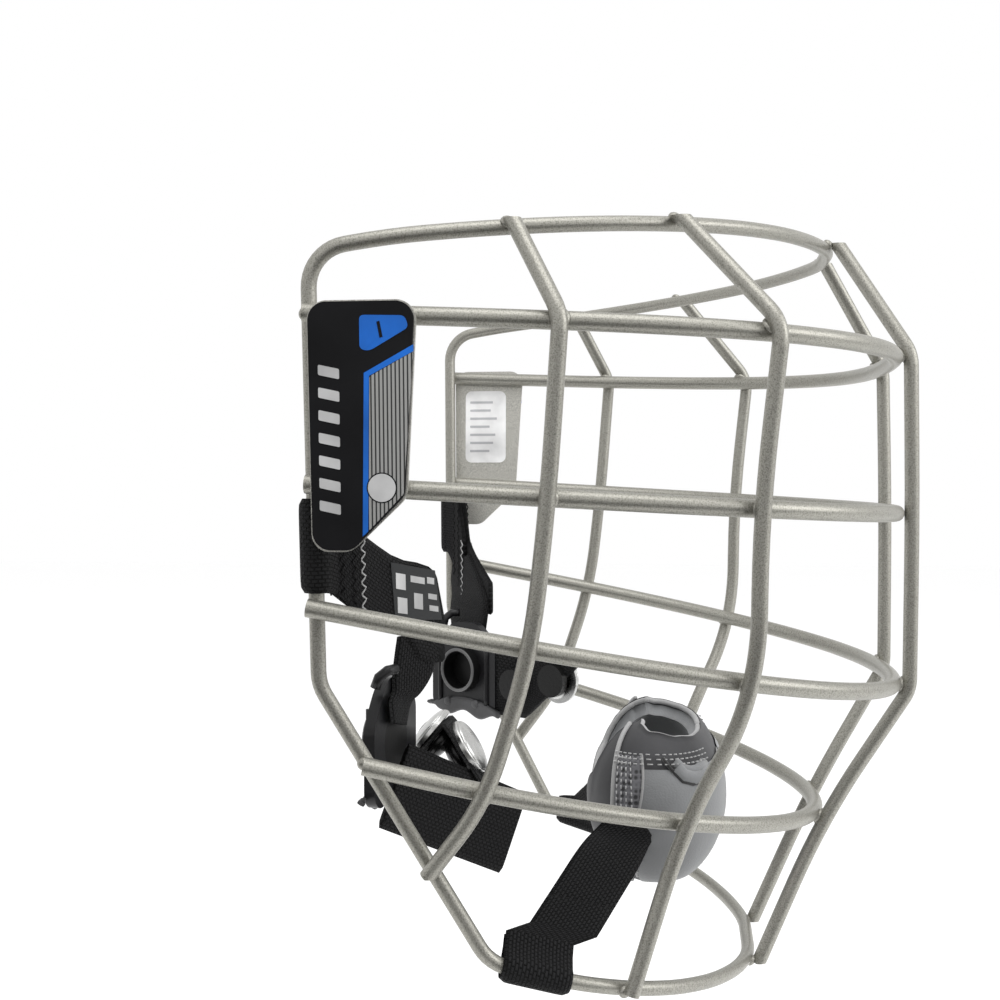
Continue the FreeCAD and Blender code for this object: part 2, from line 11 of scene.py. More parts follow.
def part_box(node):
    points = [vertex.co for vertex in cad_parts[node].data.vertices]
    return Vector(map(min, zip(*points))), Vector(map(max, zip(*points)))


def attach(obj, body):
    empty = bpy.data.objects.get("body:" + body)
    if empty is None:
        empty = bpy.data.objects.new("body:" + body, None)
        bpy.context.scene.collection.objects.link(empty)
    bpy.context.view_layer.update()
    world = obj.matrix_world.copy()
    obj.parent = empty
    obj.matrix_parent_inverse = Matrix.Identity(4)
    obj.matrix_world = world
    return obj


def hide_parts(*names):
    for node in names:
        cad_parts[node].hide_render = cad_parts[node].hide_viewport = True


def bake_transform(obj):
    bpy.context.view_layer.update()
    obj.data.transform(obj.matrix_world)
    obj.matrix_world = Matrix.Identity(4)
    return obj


MM = 0.001
UP = Vector((0, 0, 1))
ACROSS = Vector((1, 0, 0))
SIDES = {"right": -1, "left": 1}
WEBBING = 1.5 * MM
WEBBING_WIDTH = 19 * MM
TAIL_WAY = (-0.85, -0.53)       # the side straps' tails run inward and forward
SIDE_LEAN = (91.5 - 87.5) / (96.5 - 9.6)    # how much the cage narrows from temple to jaw
CUP_STRAP_ASIDE = 3.6 * MM      # from the cup's side out to the chin strap's end
STAGE_LEVEL = -0.30

random.seed(7)
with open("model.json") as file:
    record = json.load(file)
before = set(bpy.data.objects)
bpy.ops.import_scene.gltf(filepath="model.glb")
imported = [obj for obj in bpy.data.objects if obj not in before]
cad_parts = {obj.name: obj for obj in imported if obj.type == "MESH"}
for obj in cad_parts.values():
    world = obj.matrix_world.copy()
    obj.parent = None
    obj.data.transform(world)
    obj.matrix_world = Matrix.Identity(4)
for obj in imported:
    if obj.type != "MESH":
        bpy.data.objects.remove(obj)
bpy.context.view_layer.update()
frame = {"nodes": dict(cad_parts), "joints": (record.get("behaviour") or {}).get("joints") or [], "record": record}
JOINTS = {joint["name"]: joint for joint in frame["joints"]}
MOUNTS = {mount["name"]: mount for mount in frame["record"]["mounts"]}


# ---- shader building blocks -------------------------------------------------------------

def shader(name, color, roughness, metallic=0.0, **sockets):
    """A material with its Principled shader and node tree."""
    made = bpy.data.materials.new(name)
    made.use_nodes = True
    surface = made.node_tree.nodes["Principled BSDF"]
    surface.inputs["Base Color"].default_value = (*color, 1)
    surface.inputs["Roughness"].default_value = roughness
    surface.inputs["Metallic"].default_value = metallic
    for socket, value in sockets.items():
        surface.inputs[socket.replace("_", " ")].default_value = value
    return made, surface


def node(material, kind, **inputs):
    made = material.node_tree.nodes.new(kind)
    for name, value in inputs.items():
        made.inputs[name.replace("_", " ")].default_value = value
    return made


def link(material, source, target):
    material.node_tree.links.new(source, target)


def coordinates(material, kind="Object"):
    return node(material, "ShaderNodeTexCoord").outputs[kind]


def noise(material, scale, detail=2.0, kind="Object"):
    made = node(material, "ShaderNodeTexNoise", Scale=scale, Detail=detail)
    link(material, coordinates(material, kind), made.inputs["Vector"])
    return made.outputs["Fac"]


def ramp(material, value, stops):
    """Colours by value: stops are (place, colour) pairs."""
    made = material.node_tree.nodes.new("ShaderNodeValToRGB")
    elements = made.color_ramp.elements
    while len(elements) < len(stops):
        elements.new(0.5)
    for element, (place, color) in zip(elements, stops):
        element.position = place
        element.color = (*color, 1)
    link(material, value, made.inputs["Fac"])
    return made.outputs["Color"]


def bump(material, surface, height, strength, distance):
    made = node(material, "ShaderNodeBump", Strength=strength, Distance=distance)
    link(material, height, made.inputs["Height"])
    previous = surface.inputs["Normal"].links
    if previous:
        link(material, previous[0].from_socket, made.inputs["Normal"])
    link(material, made.outputs["Normal"], surface.inputs["Normal"])


def sparkle_paint(name, dark, light):
    """Metallic paint with a fine bright grain."""
    made, surface = shader(name, light, 0.4, 0.7)
    grain = noise(made, 3300, 2)
    link(made, ramp(made, grain, [(0.3, dark), (0.5, light), (0.7, tuple(c * 1.2 for c in light))]),
         surface.inputs["Base Color"])
    bump(made, surface, grain, 0.2, 0.00015)
    bump(made, surface, noise(made, 160, 2), 0.06, 0.0006)
    return made


def plastic(name, color, roughness, grain=900, shine=0.5):
    made, surface = shader(name, color, roughness, Specular_IOR_Level=shine)
    shade = noise(made, 60, 4)
    tones = [(0.3, tuple(c * 0.7 for c in color)), (0.7, tuple(c * 1.35 for c in color))]
    link(made, ramp(made, shade, tones), surface.inputs["Base Color"])
    bump(made, surface, noise(made, grain, 2), 0.12, 0.0002)
    return made


def woven(name, color, brick=(1.2, 0.8), depth=0.9):
    """Basket weave laid out on the piece's own run and width."""
    made, surface = shader(name, color, 0.75, Specular_IOR_Level=0.2)
    scaled = node(made, "ShaderNodeMapping")
    scaled.inputs["Scale"].default_value = (1000, 1000, 1000)
    link(made, coordinates(made, "UV"), scaled.inputs["Vector"])
    bricks = node(made, "ShaderNodeTexBrick", Scale=1.0)
    bricks.inputs["Mortar Size"].default_value = 0.24
    bricks.inputs["Mortar Smooth"].default_value = 1.0
    bricks.inputs["Brick Width"].default_value = brick[0]
    bricks.inputs["Row Height"].default_value = brick[1]
    link(made, scaled.outputs["Vector"], bricks.inputs["Vector"])
    raised = node(made, "ShaderNodeMath")
    raised.operation = "SUBTRACT"
    raised.inputs[0].default_value = 1.0
    link(made, bricks.outputs["Fac"], raised.inputs[1])
    tones = [(0.1, tuple(c * 0.25 for c in color)), (0.9, tuple(c * 1.5 for c in color))]
    link(made, ramp(made, raised.outputs[0], tones), surface.inputs["Base Color"])
    bump(made, surface, raised.outputs[0], depth, 0.0005)
    bump(made, surface, noise(made, 2600, 2), 0.3, 0.0002)
    return made


def soft_cloth(name, color, scale=2200):
    """Fine knit with slight fading."""
    made, surface = shader(name, color, 0.85, Sheen_Weight=0.3, Sheen_Roughness=0.5)
    fade = noise(made, 45, 3)
    link(made, ramp(made, fade, [(0.3, tuple(c * 0.8 for c in color)), (0.7, tuple(c * 1.2 for c in color))]),
         surface.inputs["Base Color"])
    bump(made, surface, noise(made, scale, 2), 0.4, 0.0002)
    return made


def mesh_cloth(name, color):
    """Open mesh with small round holes."""
    made, surface = shader(name, color, 0.7, Sheen_Weight=0.3)
    holes = node(made, "ShaderNodeTexVoronoi", Scale=700.0, Randomness=0.15)
    link(made, coordinates(made, "Object"), holes.inputs["Vector"])
    link(made, ramp(made, holes.outputs["Distance"], [(0.25, tuple(c * 0.15 for c in color)), (0.5, color)]),
         surface.inputs["Base Color"])
    bump(made, surface, holes.outputs["Distance"], 0.8, 0.0004)
    return made


def chrome(name):
    made, surface = shader(name, (0.55, 0.55, 0.54), 0.28, 1.0)
    wear = noise(made, 220, 3)
    link(made, ramp(made, wear, [(0.35, (0.24,) * 3), (0.75, (0.34,) * 3)]), surface.inputs["Roughness"])
    return made


def striped(name):
    """Fine silver and black stripes across the badge's front field."""
    made, surface = shader(name, (0.5, 0.5, 0.5), 0.4, 0.5)
    waves = node(made, "ShaderNodeTexWave", Scale=390.0, Distortion=0.0)
    waves.bands_direction = "Y"
    link(made, coordinates(made, "Object"), waves.inputs["Vector"])
    link(made, ramp(made, waves.outputs["Fac"], [(0.2, (0.04, 0.04, 0.04)), (0.45, (0.42, 0.42, 0.41))]),
         surface.inputs["Base Color"])
    bump(made, surface, noise(made, 1500, 2), 0.1, 0.0001)
    return made


def build_materials():
    paint = sparkle_paint("cage paint", (0.19, 0.186, 0.163), (0.325, 0.317, 0.283))
    plate = sparkle_paint("plate metal", (0.34, 0.335, 0.31), (0.52, 0.51, 0.47))
    return {
        "cage_paint": paint,
        "plate_metal": plate,
        "badge_print": plastic("badge black", (0.008, 0.008, 0.009), 0.5, shine=0.12),
        "label_print": plastic("label paper", (0.88, 0.88, 0.88), 0.6, 500),
        "webbing": woven("webbing", (0.008, 0.008, 0.0085)),
        "strap_print": woven("strap print", (0.15, 0.155, 0.16), depth=0.35),
        "socket_rim": plastic("socket rim", (0.1, 0.1, 0.1), 0.4),
        "tab_plastic": plastic("tab plastic", (0.008, 0.008, 0.009), 0.36, shine=0.35),
        "tab_wing": plastic("tab wing", (0.06, 0.06, 0.062), 0.45, shine=0.3),
        "socket_metal": plastic("socket", (0.006, 0.006, 0.006), 0.4, shine=0.2),
        "snap_chrome": chrome("snap chrome"),
        "snap_dark": plastic("snap dark", (0.006, 0.006, 0.006), 0.25, shine=0.35),
        "cup_shell": plastic("cup shell", (0.05, 0.05, 0.053), 0.55, shine=0.25),
        "cup_liner": soft_cloth("cup liner", (0.2, 0.205, 0.21)),
        "cup_mesh": mesh_cloth("cup mesh", (0.13, 0.13, 0.14)),
        "thread": soft_cloth("thread", (0.4, 0.4, 0.4)),
        "piping": soft_cloth("piping", (0.3, 0.3, 0.3)),
        "stitch": soft_cloth("stitch", (0.42, 0.42, 0.42)),
        # near-black cloth laid along the cup's fold: painted shade in the crease
        "crease_shade": soft_cloth("crease_shade", (0.02, 0.02, 0.02)),
        "blue": plastic("badge blue", (0.008, 0.13, 0.55), 0.4, shine=0.3),
        "silver": plastic("badge silver", (0.52, 0.52, 0.52), 0.4),
        "stripes": striped("badge stripes"),
        "grey_line": plastic("grey line", (0.5, 0.5, 0.52), 0.6),
    }


LOOKS = build_materials()


# ---- mesh building blocks ---------------------------------------------------------------

def mesh_object(name, points, faces, look, smooth=True, uvs=None):
    data = bpy.data.meshes.new(name)
    data.from_pydata([tuple(point) for point in points], [], faces)
    data.validate()
    if uvs:
        layer = data.uv_layers.new(name="UVMap")
        for loop in data.loops:
            layer.data[loop.index].uv = uvs[loop.vertex_index]
    for polygon in data.polygons:
        polygon.use_smooth = smooth
    made = bpy.data.objects.new(name, data)
    bpy.context.scene.collection.objects.link(made)
    data.materials.append(LOOKS[look])
    return made


def resampled(points, step):
    """The points, with more put in so that no gap is wider than step."""
    dense = [points[0]]
    for here, there in zip(points, points[1:]):
        count = max(1, math.ceil(max((a - b).length for a, b in zip(here, there)) / step))
        for i in range(1, count + 1):
            dense.append(tuple(a.lerp(b, i / count) for a, b in zip(here, there)))
    return dense


def smoothed(rows, rounds=2):
    """Corner-cutting along a strip of rows, ends kept."""
    for _ in range(rounds):
        cut = [rows[0]]
        for here, there in zip(rows, rows[1:]):
            cut.append(tuple(a.lerp(b, 0.25) for a, b in zip(here, there)))
            cut.append(tuple(a.lerp(b, 0.75) for a, b in zip(here, there)))
        cut.append(rows[-1])
        rows = cut
    return rows


def strip(name, rows, look="webbing", thickness=WEBBING, across=12, step=1.2 * MM):
    """Webbing with rounded edges. Each row holds the strip's two edge points."""
    rows = resampled(rows, step)
    points = []
    uvs = []
    travelled = 0.0
    middles = [(a + b) / 2 for a, b in rows]
    for i, (a, b) in enumerate(rows):
        if i:
            travelled += (middles[i] - middles[i - 1]).length
        ahead = middles[min(i + 1, len(rows) - 1)] - middles[max(i - 1, 0)]
        width = b - a
        normal = ahead.cross(width).normalized()
        for side in (1, -1):
            for k in range(across + 1):
                share = k / across if side > 0 else 1 - k / across
                edge = abs(2 * share - 1)
                rise = thickness / 2 * math.sqrt(max(0.0, 1 - edge ** 10))
                points.append(a + width * share + normal * rise * side)
                uvs.append((travelled, share * width.length))
    ring = 2 * (across + 1)
    faces = []
    for i in range(len(rows) - 1):
        for k in range(ring):
            here = i * ring + k
            there = i * ring + (k + 1) % ring
            faces.append((here, there, there + ring, here + ring))
    faces.append(tuple(range(ring - 1, -1, -1)))
    faces.append(tuple(range((len(rows) - 1) * ring, len(rows) * ring)))
    made = mesh_object(name, points, faces, look, uvs=uvs)
    return made


def tube(name, path, radius, look, sides=10, closed=False):
    """A round cord or thread along a path of points."""
    points = []
    faces = []
    count = len(path)
    normal = None
    for i, here in enumerate(path):
        ahead = path[(i + 1) % count] if closed or i < count - 1 else here
        behind = path[i - 1] if closed or i else here
        tangent = (ahead - behind).normalized()
        if normal is None:
            normal = tangent.orthogonal().normalized()
        normal = (normal - tangent * normal.dot(tangent)).normalized()
        other = tangent.cross(normal)
        for k in range(sides):
            angle = math.tau * k / sides
            points.append(here + (normal * math.cos(angle) + other * math.sin(angle)) * radius)
    for i in range(count if closed else count - 1):
        for k in range(sides):
            a = i * sides + k
            b = i * sides + (k + 1) % sides
            c = ((i + 1) % count) * sides + (k + 1) % sides
            d = ((i + 1) % count) * sides + k
            faces.append((a, b, c, d))
    if not closed:
        faces.append(tuple(range(sides - 1, -1, -1)))
        faces.append(tuple(range((count - 1) * sides, count * sides)))
    return mesh_object(name, points, faces, look)


def joined(name, pieces):
    """Several meshes as one object."""
    with bpy.context.temp_override(active_object=pieces[0], selected_editable_objects=pieces):
        bpy.ops.object.join()
    pieces[0].name = name
    return pieces[0]


def lump(name, middle, size, basis, look, segments=14, rings=8):
    """An ellipsoid with half sizes along the three basis directions."""
    points = []
    faces = []
    for j in range(rings + 1):
        polar = math.pi * j / rings
        for i in range(segments):
            angle = math.tau * i / segments
            local = (math.sin(polar) * math.cos(angle), math.sin(polar) * math.sin(angle), math.cos(polar))
            offset = Vector((0, 0, 0))
            for part, half, way in zip(local, size, basis):
                offset += way * (part * half)
            points.append(middle + offset)
    for j in range(rings):
        for i in range(segments):
            k = (i + 1) % segments
            faces.append((j * segments + i, (j + 1) * segments + i, (j + 1) * segments + k, j * segments + k))
    return mesh_object(name, points, faces, look)


# ---- cage -------------------------------------------------------------------------------

def paint_cad():
    """Better materials for the hard CAD nodes."""
    slots = {part["node"]: part["material_slot"] for part in frame["record"]["subparts"]}
    for name, piece in frame["nodes"].items():
        piece.data.materials.clear()
        piece.data.materials.append(LOOKS[slots[name]])
        if slots[name] in ("cage_paint", "snap_dark", "snap_chrome", "socket_metal"):
            for polygon in piece.data.polygons:
                polygon.use_smooth = True


def tree_of(name):
    data = frame["nodes"][name].data
    return BVHTree.FromPolygons([v.co for v in data.vertices], [p.vertices for p in data.polygons])


def weld_beads():
    """A small bead at each crossing of two welded wires."""
    bars = ["perimeter_wire", "brow_wire", "eye_wire", "nose_wire", "mouth_wire"]
    uprights = [kind + "_vertical_" + side for kind in ("outer", "inner", "centre") for side in SIDES]
    pairs = [(upright, bar) for upright in uprights for bar in bars]
    pairs += [(bar, "perimeter_wire") for bar in bars[1:]]
    beads = []
    for thin, thick in pairs:
        tree = tree_of(thick)
        touches = []
        for vertex in frame["nodes"][thin].data.vertices:
            point, normal, _, distance = tree.find_nearest(vertex.co)
            if distance < 0.12 * MM and all((point - other).length > 8 * MM for other, _ in touches):
                touches.append((point, normal))
        for point, normal in touches:
            side = normal.orthogonal().normalized()
            basis = (side, normal.cross(side), normal)
            reach = (1.45 if thick == "perimeter_wire" else 2.1) * MM
            beads.append(lump("bead", point, (reach, reach, 0.9 * MM), basis, "cage_paint"))
    made = joined("weld_beads", beads)
    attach(made, "cage")


paint_cad()
weld_beads()


# ---- badge print ------------------------------------------------------------------------

def badge_point(side, ahead, z, lift):
    """A point on the badge's leaning outer face, ahead of its back edge."""
    _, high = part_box("badge_left")
    outer = high.x - (high.z - z) * SIDE_LEAN + lift
    return Vector((side * outer, high.y - ahead, z))


def printed(name, side, corners, look, lift):
    """A thin flat print with the given corners, as (mm from the back edge, mm below the top)."""
    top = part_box("badge_left")[1].z
    front = [badge_point(side, a * MM, top - d * MM, lift * MM) for a, d in corners]
    back = [badge_point(side, a * MM, top - d * MM, (lift - 0.12) * MM) for a, d in corners]
    count = len(corners)
    faces = [tuple(range(count)), tuple(range(2 * count - 1, count - 1, -1))]
    faces += [(i, (i + 1) % count, count + (i + 1) % count, count + i) for i in range(count)]
    return mesh_object(name, front + back, faces, look, smooth=False)


def disc(middle, radius, count=32):
    return [(middle[0] + radius * math.cos(math.tau * i / count),
             middle[1] + radius * math.sin(math.tau * i / count)) for i in range(count)]


def rounded(corners, radius, count=6):
    """The outline with each corner replaced by a short curve."""
    made = []
    total = len(corners)
    for i, corner in enumerate(corners):
        here = Vector(corner)
        start = here + (Vector(corners[i - 1]) - here).normalized() * radius
        end = here + (Vector(corners[(i + 1) % total]) - here).normalized() * radius
        for k in range(count + 1):
            share = k / count
            made.append(tuple(start.lerp(here, share).lerp(here.lerp(end, share), share)))
    return made


def badge_print(name, side):
    pieces = []
    field = rounded([(12.2, 14.6), (20.8, 9.9), (18.7, 37.4), (11.7, 44.6)], 0.4)
    pieces.append(printed("field", side, field, "stripes", 0.07))
    for line in ([(11.1, 13.9), (20.9, 8.5), (20.9, 9.8), (12.1, 14.5)],
                 [(11.1, 13.9), (12.1, 14.5), (11.6, 44.7), (10.5, 45.7)]):
        pieces.append(printed("line", side, line, "blue", 0.1))
    patch = rounded([(10.3, 2.7), (19.2, 2.9), (20.0, 5.2), (12.2, 9.7), (10.3, 9.3)], 1.0)
    pieces.append(printed("patch", side, patch, "blue", 0.09))
    dash = [(13.7, 4.1), (14.3, 3.9), (14.9, 7.0), (14.3, 7.2)]
    pieces.append(printed("dash", side, dash, "badge_print", 0.13))
    pieces.append(printed("disc", side, disc((14.4, 36.2), 3.0), "badge_print", 0.12))
    pieces.append(printed("disc", side, disc((14.4, 36.2), 2.75), "silver", 0.15))
    for i in range(7):
        top = 12.2 + 4.4 * i
        bar = rounded([(2.0, top), (6.2, top + 0.9), (6.2, top + 2.9), (2.0, top + 2.0)], 0.35)
        pieces.append(printed("bar", side, bar, "silver", 0.09))
    made = joined("badge_print_" + name, pieces)
    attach(made, "cage")


def label_lines():
    """Plain grey lines on the inner label."""
    low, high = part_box("inner_label_left")
    pieces = []
    for i in range(7):
        z = high.z - (4 + 2.6 * i) * MM
        start = high.y - 1.5 * MM
        end = start - (6 + 4 * random.random()) * MM
        x = low.x + (z - low.z) * SIDE_LEAN - 0.08 * MM
        height = 0.7 * MM
        corners = ((start, 0), (end, 0), (end, height), (start, height))
        points = [Vector((x, y, z + dz)) for y, dz in corners]
        points += [point + ACROSS * 0.1 * MM for point in points]
        faces = [(0, 1, 2, 3), (7, 6, 5, 4), (0, 4, 5, 1), (1, 5, 6, 2), (2, 6, 7, 3), (3, 7, 4, 0)]
        pieces.append(mesh_object("line", points, faces, "grey_line", smooth=False))
    made = joined("label_lines", pieces)
    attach(made, "cage")


for name, side in SIDES.items():
    badge_print(name, side)
label_lines()


# ---- side straps ------------------------------------------------------------------------

# Upper and lower edges of each tail, as (along the tail, below the loop's top).
TAIL_TOP = {
    "right": ((0, 0), (4, 0.3), (12, 7), (24, 13.2), (33, 14.6), (36, 16.5), (38, 25.1)),
    "left": ((0, 0), (7, 0.7), (9.5, 2.7), (12, 14.1), (34, 29.1), (38, 33.1)),
}
TAIL_LOW = {
    "right": ((0, 19), (4, 19), (12, 24.1), (26, 30.1), (31, 36.6), (38, 36.6)),
    "left": ((0, 19), (4, 19), (5, 25.1), (16, 36.6), (38, 36.6)),
}


TAIL_END = {"right": 38, "left": 30}    # where each tail's own webbing stops
# Rows of the webbing below the tail: along, aside and drop of its back and front edges.
DROP_ROWS = {
    "right": (((24, 0.6, 30), (37.5, 0.6, 30)), ((23, 0.8, 35), (37, 0.8, 35)),
              ((22.5, 1, 39), (36, 1, 39)), ((22.5, 1, 42), (32, 1, 43))),
    "left": (((3, 0.6, 23), (17, 0.6, 19)), ((1, 0.8, 27), (24, 0.8, 25)),
             ((3, 1, 32), (31, 1, 33)), ((1, 1, 37), (30, 1, 37.5))),
}


def between(table, place):
    """Straight-line lookup in a table of (place, value) pairs."""
    for (x0, y0), (x1, y1) in zip(table, table[1:]):
        if place <= x1:
            return y0 + (y1 - y0) * (place - x0) / (x1 - x0)
    return table[-1][1]


def strap_point(side, along, aside, drop):
    """A point by the loop: millimetres along the tail, beside it and below the loop's top."""
    joint = JOINTS["side_strap_swing_" + ("right" if side < 0 else "left")]
    axis = Vector(joint["axis"])
    run = Vector(joint["pos_m"]) + axis * (WEBBING_WIDTH / 2 - drop * MM)
    way = Vector((side * TAIL_WAY[0], TAIL_WAY[1], 0))
    beside = Vector((side * TAIL_WAY[1], -TAIL_WAY[0], 0))
    return run + (way * along + beside * aside) * MM


def side_strap(name, side):
    """Webbing looped round the side run, sewn to itself, then one layer on to the tab."""
    rows = []

    def row(along, aside):
        top = between(TAIL_TOP[name], max(along, 0))
        low = between(TAIL_LOW[name], max(along, 0))
        rows.append((strap_point(side, along, aside, top), strap_point(side, along, aside, low)))

    for along in (12.5, 10.5, 8.5, 6.5, 4.8):
        row(along, 0.8)
    loop = 2.42
    for i in range(15):
        angle = math.radians(50 + 260 * i / 14)
        row(loop * math.cos(angle), loop * math.sin(angle))
    for along, aside in ((4.8, -0.8), (6.5, -0.8), (9, -0.8), (12, -0.72), (15, -0.35), (18, -0.05),
                         (22, 0), (26, 0), (30, 0), (34, 0), (36, 0), (38, 0)):
        if along <= TAIL_END[name]:
            row(along, aside)
    made = strip("side_webbing_" + name, rows, across=16, step=0.9 * MM)
    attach(made, "strap_" + name)
    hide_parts("side_strap_" + name)


def bar_tack(name, side):
    """Zigzag thread through both layers of the loop's neck, on both faces."""
    threads = []
    for aside in (-1.62, 1.62):
        for k, along in enumerate((6.0, 9.4, 12.0)):
            top = between(TAIL_TOP[name], along) + 0.8
            low = between(TAIL_LOW[name], along) - 0.8
            count = int((low - top) / 1.15)
            path = []
            for i in range(count + 1):
                drop = top + (low - top) * i / count
                sway = 0.55 if i % 2 else -0.55
                wobble = random.uniform(-0.12, 0.12)
                path.append(strap_point(side, along + sway + wobble, aside, drop))
                path.append(strap_point(side, along + sway * 0.7, aside * 0.9, drop + 0.5))
            threads.append(tube("thread", path, 0.19 * MM, "thread" if k == 2 else "webbing", 6))
    made = joined("bar_tack_" + name, threads)
    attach(made, "strap_" + name)


def strap_drop(name, side):
    """Webbing from the tail's lower end down to the tab's top."""
    mount = MOUNTS["helmet_snap_" + name]
    middle = Vector(mount["pos_m"])
    facing = Vector(mount["axis"])
    forward = UP.cross(facing) * (1 if side < 0 else -1)
    if forward.dot(Vector((-side, -1, 0))) < 0:
        forward = -forward
    behind = facing * -4.2 * MM
    rows = [tuple(strap_point(side, *place) for place in row) for row in DROP_ROWS[name]]
    for back, front, half_back, half_front in ((10, 8, 8, 5), (5, 3, 6.5, 2)):
        rows.append((middle + (UP * back - forward * half_back) * MM + behind,
                     middle + (UP * front + forward * half_front) * MM + behind))
    made = strip("strap_drop_" + name, smoothed(rows), across=12)
    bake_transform(made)


def patch_marks(name, side):
    """Plain light blocks and bars on the strap's printed patch."""
    if name == "right":
        aside = -1.0
        marks = [(22.4, 25.4, 16.0, 19.4), (22.8, 25.8, 21.2, 24.6), (27, 31.5, 16.8, 18.2),
                 (32.3, 34.6, 17.4, 18.8), (28, 30.8, 20.6, 24.0), (32.6, 35.4, 21, 22.2),
                 (32.9, 35.8, 23.6, 24.8)]
    else:
        aside = 1.0
        marks = [(8, 10, 19.5, 24), (11, 13.4, 20.5, 25), (14.2, 15.4, 21.6, 25.8)]
    pieces = []
    for start, end, top, low in marks:
        slope = 0.17 * (end - start)
        corners = [(start, top), (end, top + slope), (end, low + slope), (start, low)]
        points = [strap_point(side, along, aside, drop) for along, drop in corners]
        points += [strap_point(side, along, aside * 0.92, drop) for along, drop in corners]
        faces = [(0, 1, 2, 3), (7, 6, 5, 4), (0, 4, 5, 1), (1, 5, 6, 2), (2, 6, 7, 3), (3, 7, 4, 0)]
        pieces.append(mesh_object("mark", points, faces, "silver", smooth=False))
    made = joined("patch_marks_" + name, pieces)
    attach(made, "strap_" + name)


for name, side in SIDES.items():
    side_strap(name, side)
    bar_tack(name, side)
    strap_drop(name, side)
    patch_marks(name, side)


# ---- tabs and snaps ---------------------------------------------------------------------

def tab_axes(name):
    """Middle of the tab's plate, its forward way and the way its socket faces."""
    mount = MOUNTS["helmet_snap_" + name]
    facing = Vector(mount["axis"]).normalized()
    forward = facing.cross(UP)
    if forward.y > 0.2 or (name == "right" and forward.x < 0):
        forward = -forward
    return Vector(mount["pos_m"]) - facing * 1.7 * MM, forward, facing


def tab_details(name):
    middle, forward, facing = tab_axes(name)

    def place(along, height, out):
        return middle + (forward * along + UP * height + facing * out) * MM

    pieces = []
    for along in (-9.2, 9.2):
        path = [place(along, height, 1.25) for height in (8, 4, 0, -4, -8, -11)]
        pieces.append(tube("rib", path, 0.8 * MM, "tab_plastic", 10))
    rows = []
    for i in range(25):
        along = -14 + 28 * i / 24
        low = -13.2 + 1.0 * math.cos(along * 0.5) - 0.9 * (along / 14) ** 2 * (1 if along > 0 else -2)
        top = -8.2 - 3.2 * abs(along / 14) ** 2
        rows.append((place(along, low, 1.1), place(along, top, 1.5)))
    pieces.append(strip("wing", rows, "tab_wing", 1.6 * MM, 8))
    for along in (-5.5, 5.5):
        pieces.append(lump("boss", place(along, -9.8, 2.1), (1.3 * MM,) * 2 + (0.8 * MM,),
                           (forward, UP, facing), "tab_wing"))
    bends = ((-9, 0, 0), (-9, 2.2, -0.8), (-8, 3.6, -2.4), (-6, 3.8, -3.6))
    hook = [place(along, 12.5 + rise, out) for along, rise, out in bends]
    pieces.append(tube("hook", hook, 1.15 * MM, "tab_plastic", 10))
    made = joined("tab_details_" + name, pieces)
    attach(made, "tab_" + name)
    circle = []
    for i in range(48):
        angle = math.tau * i / 48
        circle.append(place(6.05 * math.cos(angle), 6.05 * math.sin(angle), 3.8))
    ring = tube("socket_rim_" + name, circle, 0.5 * MM, "socket_rim", 10, closed=True)
    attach(ring, "tab_" + name)


def strap_end(name):
    """The webbing beyond the tab, where the CAD piece lies."""
    middle, forward, facing = tab_axes(name)
    if name == "left":
        start = middle + (forward * 11.5 - UP * 3.0) * MM
        along, upper, lower = forward, 33.5, 11.5
        width = UP
    else:
        along = (forward * 0.75 - UP * 0.42 - facing * 0.52).normalized()
        width = (UP - along * along.dot(UP)).normalized()
        start = middle + (forward * -1.2 - UP * 9.5 - facing * 1.2) * MM
        upper = lower = 36
    half = width * WEBBING_WIDTH / 2
    rows = []
    for share in (0, 0.15, 0.3, 0.45, 0.6, 0.75, 0.9, 1):
        sag = math.sin(share * math.pi) * 0.5 * MM
        drift = width.cross(along) * sag
        rows.append((start - half + along * lower * share * MM + drift,
                     start + half + along * upper * share * MM + drift))
    made = strip("strap_end_webbing_" + name, rows, across=14)
    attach(made, "tab_" + name)
    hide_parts("strap_end_" + name)


def snap_flap():
    """The right strap's end folded over like a roof, with a rounded ridge."""
    low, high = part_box("snap_flap_right")
    ridge_y = high.y - 7.5 * MM
    profile = [(high.y - 0.6 * MM, high.z - 9.4 * MM), (ridge_y + 0.6 * MM, high.z - 1.6 * MM),
               (ridge_y - 0.4 * MM, high.z - 1.4 * MM), (low.y + 0.6 * MM, low.z + 1.0 * MM)]
    rows = [(Vector((low.x, y, z)), Vector((high.x, y, z))) for y, z in profile]
    made = strip("snap_flap_webbing", smoothed(rows, 2), thickness=1.3 * MM, across=12, step=0.8 * MM)
    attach(made, "tab_right")
    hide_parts("snap_flap_right")


def islands(name):
    """The points of each separate solid of a node."""
    data = frame["nodes"][name].data
    parent = list(range(len(data.vertices)))

    def root(i):
        while parent[i] != i:
            parent[i] = parent[parent[i]]
            i = parent[i]
        return i

    keys = {}
    for i, vertex in enumerate(data.vertices):
        key = tuple(round(c * 1e6) for c in vertex.co)
        if key in keys:
            parent[root(i)] = root(keys[key])
        keys[key] = i
    for edge in data.edges:
        a, b = edge.vertices
        parent[root(a)] = root(b)
    groups = {}
    for i in range(len(data.vertices)):
        groups.setdefault(root(i), []).append(data.vertices[i].co)
    return list(groups.values())


def cap_axis(points):
    """Middle and axis of a flat round cap: the direction in which it is thinnest."""
    middle = sum(points, Vector()) / len(points)
    best = None
    for i in range(36):
        for j in range(18):
            a, b = math.tau * i / 36, math.pi * j / 36
            way = Vector((math.sin(b) * math.cos(a), math.sin(b) * math.sin(a), math.cos(b)))
            spread = [(point - middle).dot(way) for point in points]
            size = max(spread) - min(spread)
            if best is None or size < best[0]:
                best = (size, way)
    return middle, best[1]


